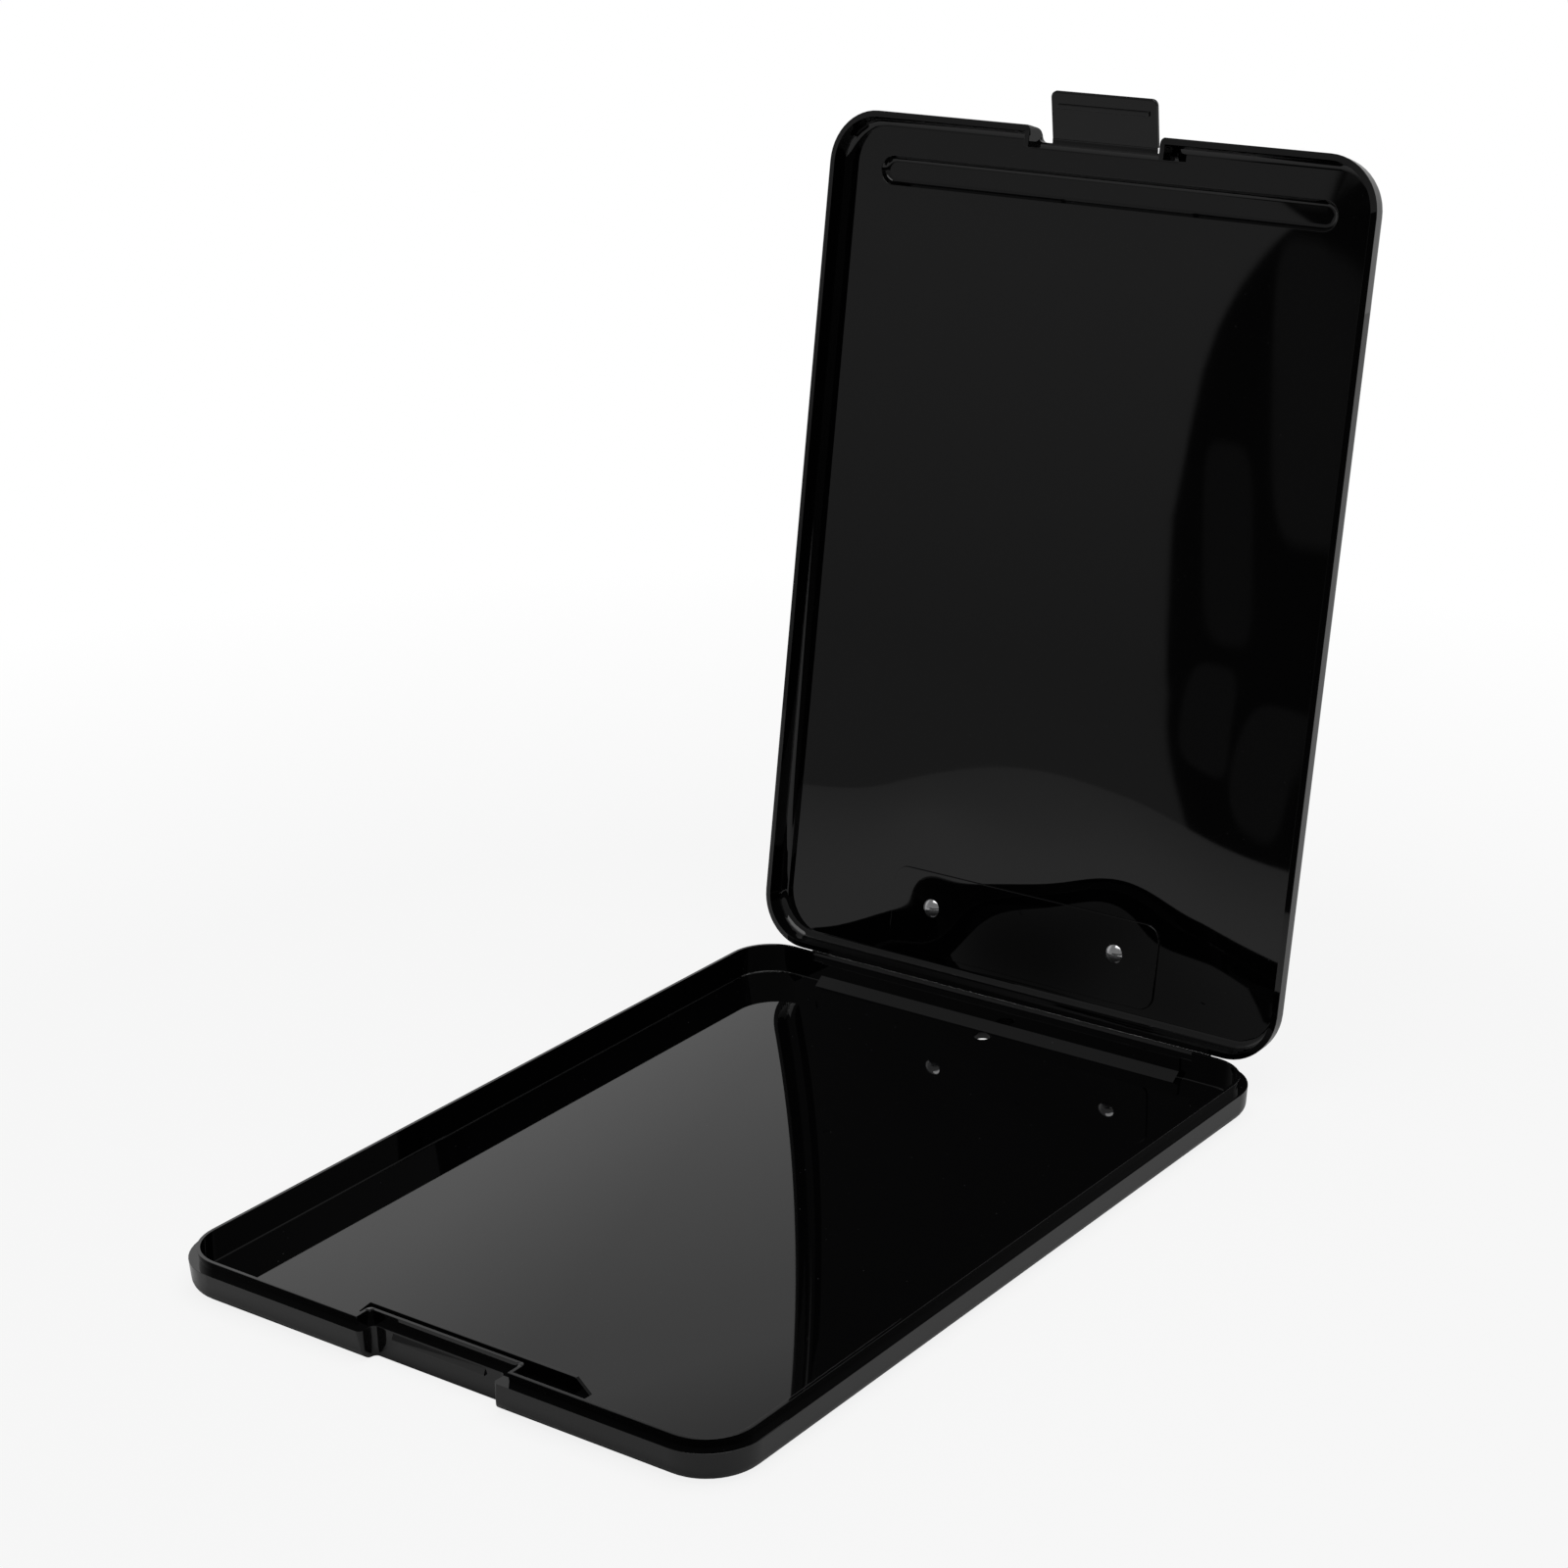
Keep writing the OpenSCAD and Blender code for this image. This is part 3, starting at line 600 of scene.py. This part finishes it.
clip_line = shut @ pin_at - Vector((0, 0.004, 0.0044))
clip_place = open_lid @ Matrix.Translation(clip_line)
rivet_gap = 86.0
rivet_outline = dome(3.62, 1.42, -2.78) + [(3.7, -2.7), (3.7, -2.6), (2.0, -2.6), (2.0, 0.4),
                                           (3.3, 0.4), (3.3, 1.12), (3.12, 1.3), (0.0, 1.3)]
bm = bmesh.new()
for side in (-1, 1):
    aside = Matrix.Translation((side * rivet_gap / 2 * MM, 0, 0))
    turned(bm, rivet_outline, clip_place @ aside)
closed_up(bm, "rivets")
rivets = finished(bm, "rivet_pair", plated, sharp=40)
stands_for(rivets, "clip_rivets", "lid")

# %% [markdown]
# ## The pivot pin
# The pin is a plain steel rod that the jaw turns on. Its ends are headed over outside the jaw's
# ears, with a small chamfer on the rim. Half of the outline is enough, because the other half
# is its mirror image.

# %% The pivot pin
half_pin = [(0.0, 33.2), (1.72, 33.2), (1.95, 32.98), (1.95, 32.4), (1.25, 32.4)]
pin_outline = half_pin + [(r, -x) for r, x in reversed(half_pin)]
bm = bmesh.new()
turned(bm, pin_outline, Matrix.Translation(pin_at) @ Matrix.Rotation(math.pi / 2, 4, "Y"))
closed_up(bm, "pin")
pin = finished(bm, "pivot_pin", plated, sharp=40)
stands_for(pin, "clip_pivot_pin", "lid")

# %% [markdown]
# ## The torsion spring
# The spring is one length of round wire: a leg on the base plate, five turns round the pin, an
# arm, and a bridge under the thumb lever to its mirror image. A ring is spun round the pin with
# a small step sideways each time, which makes the coil. Its two end rings are then drawn out
# into the leg and the arm, and a last small spin makes the bend into the bridge.

# %% Half of the spring
wire_r, coil_r, coil_run = 0.0005, 0.00205, 0.009
coil_from = -0.0195
coil_turn = math.radians(1840)
coil_steps = 184
leg_bend, leg_run = (0, -0.001, -0.00004), (0, -0.009, -0.00136)
arm_angle = math.radians(40)
arm_reach, bridge_bend = 0.00664, 0.0009


def end_rings(bm):
    ends = [e for e in bm.edges if len(e.link_faces) == 1]
    low = [e for e in ends if (e.verts[0].co.x + e.verts[1].co.x) / 2 < coil_from + coil_run / 3]
    return low, [e for e in ends if e not in low]


def draw_out(bm, ring, step):
    made = bmesh.ops.extrude_edge_only(bm, edges=ring)["geom"]
    verts = [g for g in made if isinstance(g, bmesh.types.BMVert)]
    bmesh.ops.translate(bm, vec=step, verts=verts)
    return [g for g in made if isinstance(g, bmesh.types.BMEdge) and len(g.link_faces) == 1]


def middle_of(ring):
    return sum((v.co for e in ring for v in e.verts), Vector()) / (2 * len(ring))


def half_spring():
    bm = bmesh.new()
    upright = Matrix.Translation((coil_from, 0, -coil_r)) @ Matrix.Rotation(math.pi / 2, 4, "X")
    bmesh.ops.create_circle(bm, cap_ends=False, segments=12, radius=wire_r, matrix=upright)
    bmesh.ops.spin(bm, geom=bm.verts[:] + bm.edges[:], cent=(0, 0, 0), axis=(1, 0, 0),
                   dvec=(coil_run / coil_steps, 0, 0), angle=coil_turn, steps=coil_steps,
                   use_duplicate=False)
    leg, arm = end_rings(bm)
    for step in (leg_bend, leg_run):
        leg = draw_out(bm, leg, step)
    bmesh.ops.holes_fill(bm, edges=leg)
    along = Vector((0, math.cos(arm_angle), math.sin(arm_angle)))
    arm = draw_out(bm, arm, along * (arm_reach - bridge_bend))
    made = bmesh.ops.spin(bm, geom=list({v for e in arm for v in e.verts}) + arm,
                          cent=middle_of(arm) + Vector((bridge_bend, 0, 0)),
                          axis=along.cross((1, 0, 0)), angle=math.pi / 2, steps=6,
                          use_duplicate=False)
    ring = [g for g in made["geom_last"] if isinstance(g, bmesh.types.BMEdge)]
    draw_out(bm, ring, (-middle_of(ring).x, 0, 0))
    return bm


# %% [markdown]
# ## The whole spring
# The spring is the same on both sides, so the half is mirrored and joined at the bridge's
# middle. On the real box its legs stay with the lid while the bridge lifts with the jaw; here
# the whole spring is put in its place on the open lid and is tied to neither body.

# %% Mirror it and put it on the pin
bm = half_spring()
for v in bm.verts:
    if abs(v.co.x) < 10 * same_place:
        v.co.x = 0.0
bmesh.ops.mirror(bm, geom=bm.verts[:] + bm.edges[:] + bm.faces[:], matrix=Matrix.Identity(4),
                 merge_dist=same_place, axis="X")
closed_up(bm, "spring")
spring_place = open_lid @ Matrix.Translation(shut @ pin_at)
bmesh.ops.transform(bm, matrix=spring_place, verts=bm.verts)
spring = finished(bm, "torsion_spring", wire_steel, sharp=60)
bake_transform(spring)
stands_for(spring, "clip_spring", None)

# %% [markdown]
# ## The floor
# The floor is a plain pale disc. The camera sees most of it as pure white, so that its edge
# can't be told from the backdrop, and a small share of the real shading is left near the box,
# which keeps the box's soft shadow. Light Path tells the camera's rays from all others, so the
# black gloss still reflects the floor at its true, lower brightness.


# %% Make the floor
floor_r, floor_drop = 1.51, 0.0004
floor_grey = (0.62, 0.62, 0.62, 1)
shadow_near, shadow_far, least_glow = 0.35, 0.8, 0.86


def make_floor():
    bm = bmesh.new()
    bmesh.ops.create_circle(bm, cap_ends=True, segments=96, radius=floor_r,
                            matrix=Matrix.Translation((0, 0, -floor_drop)))
    mesh = bpy.data.meshes.new("floor")
    bm.to_mesh(mesh)
    bm.free()
    obj = bpy.data.objects.new("floor", mesh)
    bpy.context.scene.collection.objects.link(obj)
    mat = bpy.data.materials.new("floor_white")
    mat.use_nodes = True
    tree = mat.node_tree
    tree.nodes.clear()
    out = add(tree, "OutputMaterial")
    paint = add(tree, "BsdfDiffuse")
    paint.inputs["Color"].default_value = floor_grey
    glow = add(tree, "Emission", Strength=1.0)
    path = add(tree, "LightPath")
    where = add(tree, "TexCoord")
    away = add(tree, "VectorMath", operation="LENGTH")
    join(tree, where.outputs["Object"], away.inputs[0])
    near = ramp(tree, away.outputs["Value"], shadow_near, shadow_far, least_glow, 1.0)
    share = calc(tree, "MULTIPLY", path.outputs["Is Camera Ray"], near)
    mix = add(tree, "MixShader")
    join(tree, share, mix.inputs["Fac"])
    join(tree, paint.outputs["BSDF"], mix.inputs[1])
    join(tree, glow.outputs["Emission"], mix.inputs[2])
    join(tree, mix.outputs["Shader"], out.inputs["Surface"])
    obj.data.materials.append(mat)
    return obj


floor = make_floor()
print("floor", len(floor.data.vertices), "points")

# %% [markdown]
# ## The room
# Black gloss shows its surroundings, so what stands round the box matters as much as the lamps.
# Behind the box the room is bright up to some height and dimmer above it, which gives the
# tray's floor its grey sheen that fades towards the viewer. In front it is dimmer. The room's
# brightness is worked out from the direction alone.


# %% Light behind and in front
to_back = (-0.588, 0.809)
to_right = (0.9178, -0.3971)
# where each change of light starts and ends, and the level at both
wall_low = (0.40, 0.50, 0.60, 0.53)
wall_high = (0.53, 0.62, 1.0, 0.40)
left_glow = (-0.58, -0.65, 0.0, 0.12)
front_low = (0.0, 0.12, 0.21, 0.29)
front_high = (0.18, 0.42, 1.0, 0.83)
front_to_back = (0.05, 0.55)


def towards(tree, x, y, way):
    return calc(tree, "ADD", calc(tree, "MULTIPLY", x, way[0]),
                calc(tree, "MULTIPLY", y, way[1]))


def blended(tree, first, second, share):
    rest = calc(tree, "SUBTRACT", 1.0, share)
    return calc(tree, "ADD", calc(tree, "MULTIPLY", second, share),
                calc(tree, "MULTIPLY", first, rest))


def room_level(tree, x, y, z):
    wall = calc(tree, "MULTIPLY", ramp(tree, z, *wall_low), ramp(tree, z, *wall_high))
    back_light = calc(tree, "ADD", wall, ramp(tree, x, *left_glow))
    front_light = calc(tree, "MULTIPLY", ramp(tree, z, *front_low),
                       ramp(tree, z, *front_high))
    behind = ramp(tree, towards(tree, x, y, to_back), *front_to_back)
    return blended(tree, front_light, back_light, behind)


# %% [markdown]
# ## The dark part of the room
# To the right the room is dark and holds only a few dim things, which show as the rounded dark
# shape in the lid. The dark part and the things in it are boxes with round corners. The sum of
# two fourth powers makes such a shape: it is below one inside and above one outside.


# %% The dark part of the room
# place across and up, half sizes, lean and brightness of each dim thing in the dark part
dim_things = [
    (-0.0805, 0.046, 0.0075, 0.029, -0.19, 0.045),
    (-0.0660, 0.092, 0.0105, 0.043, -0.19, 0.065),
    (-0.0785, -0.012, 0.0075, 0.022, 0.06, 0.050),
    (-0.0605, -0.022, 0.0095, 0.023, 0.20, 0.050),
]
dark_middle, dark_reach = 0.35, 0.448
dark_rise, dark_height = 0.05, 0.14
dark_foot = (0.05, -0.005, 0.0, 0.008)
dark_edge = (0.993, 1.007, 1.0, 0.0)
thing_edge = (0.8, 1.2)
darkest = 0.02


def fourth_power(tree, value):
    return squared(tree, squared(tree, value))


def dark_part(tree, side, y, z):
    foot = ramp(tree, z, *dark_foot)
    left = calc(tree, "SUBTRACT", calc(tree, "SUBTRACT", side, foot), dark_middle)
    left = calc(tree, "MINIMUM", calc(tree, "DIVIDE", left, dark_reach), 0.0)
    top = calc(tree, "DIVIDE", calc(tree, "SUBTRACT", z, dark_rise), dark_height)
    top = calc(tree, "MAXIMUM", top, 0.0)
    edge = calc(tree, "ADD", fourth_power(tree, left), fourth_power(tree, top))
    return calc(tree, "MULTIPLY", ramp(tree, edge, *dark_edge),
                calc(tree, "LESS_THAN", y, 0.0))


def dim_level(tree, side, z):
    level = darkest
    for place, high, wide, tall, lean, extra in dim_things:
        rise = calc(tree, "SUBTRACT", z, high)
        middle = calc(tree, "ADD", calc(tree, "MULTIPLY", rise, lean), place)
        across = calc(tree, "DIVIDE", calc(tree, "SUBTRACT", side, middle), wide)
        apart = calc(tree, "ADD", fourth_power(tree, across),
                     fourth_power(tree, calc(tree, "DIVIDE", rise, tall)))
        level = calc(tree, "ADD", ramp(tree, apart, *thing_edge, extra, 0.0), level)
    return level


# %% [markdown]
# ## The world
# The room's levels light the box and show in its gloss. The camera itself sees plain white
# behind the box, as in a catalogue photograph. Light Path tells its rays from all others.


# %% Put the room round the box
def make_world():
    world = bpy.data.worlds.new("studio_room")
    bpy.context.scene.world = world
    world.use_nodes = True
    tree = world.node_tree
    tree.nodes.clear()
    out = add(tree, "OutputWorld")
    where = add(tree, "TexCoord")
    x, y, z = axes_of(tree, where.outputs["Generated"])
    side = towards(tree, x, y, to_right)
    lit = blended(tree, room_level(tree, x, y, z), dim_level(tree, side, z),
                  dark_part(tree, side, y, z))
    room = add(tree, "Background", Strength=1.0)
    join(tree, lit, room.inputs["Color"])
    white = add(tree, "Background", Color=(1, 1, 1, 1), Strength=1.0)
    path = add(tree, "LightPath")
    mix = add(tree, "MixShader")
    join(tree, path.outputs["Is Camera Ray"], mix.inputs["Fac"])
    join(tree, room.outputs["Background"], mix.inputs[1])
    join(tree, white.outputs["Background"], mix.inputs[2])
    join(tree, mix.outputs["Shader"], out.inputs["Surface"])
    return world


world = make_world()
print("room light with", len(world.node_tree.nodes), "nodes")

# %% [markdown]
# ## The lamp
# One large soft lamp overhead lights the box evenly and gives it a soft shadow. It is wide and
# high, so that its own reflection stays out of the surfaces that face the camera.

# %% Overhead lamp
lamp_data = bpy.data.lights.new("overhead_softbox", "AREA")
lamp_data.shape = "SQUARE"
lamp_data.size = 2.2
lamp_data.energy = 34.0
lamp = bpy.data.objects.new("overhead_softbox", lamp_data)
lamp.location = (0.5, 0.1, 2.2)
bpy.context.scene.collection.objects.link(lamp)
bpy.context.scene.view_settings.view_transform = "Standard"
print("lamp", lamp_data.energy, "W")
